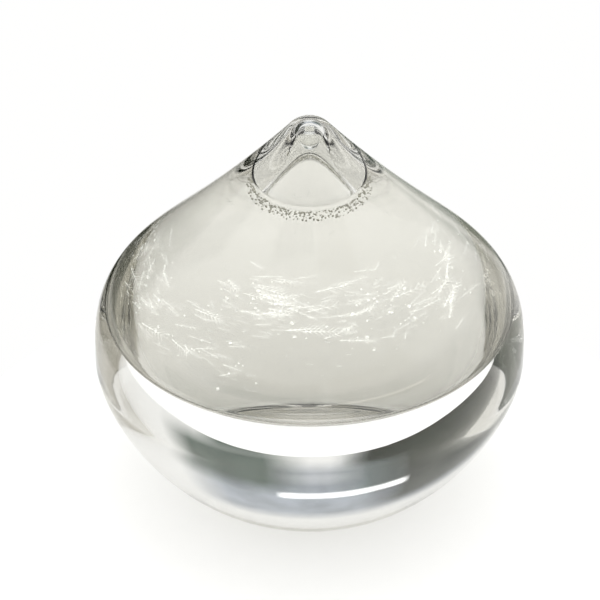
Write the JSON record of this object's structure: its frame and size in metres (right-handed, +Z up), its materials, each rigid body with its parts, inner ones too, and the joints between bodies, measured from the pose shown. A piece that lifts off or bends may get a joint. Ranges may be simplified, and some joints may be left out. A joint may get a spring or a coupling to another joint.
{
  "type": "storm glass",
  "caption": "Sealed drop-shaped glass weather glass with a flat foot, filled with a clear solution that holds feather crystals and a pocket of air under the tip.",
  "frame": {"origin": "centre of the flat foot, on the surface the drop stands on", "axes": "+Z up along the drop's axis of revolution towards the tip; +X to the right and -Y to the front"},
  "size_m": [0.08, 0.08, 0.077],
  "materials": {
    "clear_glass": "smooth fire-polished clear glass",
    "storm_solution": "clear faintly warm liquid",
    "camphor_crystal": "white translucent feathery crystal"
  },
  "bodies": {
    "root": {"glass_vessel": "clear_glass", "tip_seal": "clear_glass", "storm_liquid": "storm_solution", "crystal_bed": "camphor_crystal", "feather_drift_left": "camphor_crystal", "feather_drift_middle": "camphor_crystal", "feather_drift_right": "camphor_crystal", "star_flakes": "camphor_crystal", "liquid_line_crystals": "camphor_crystal"}
  },
  "joints": []
}
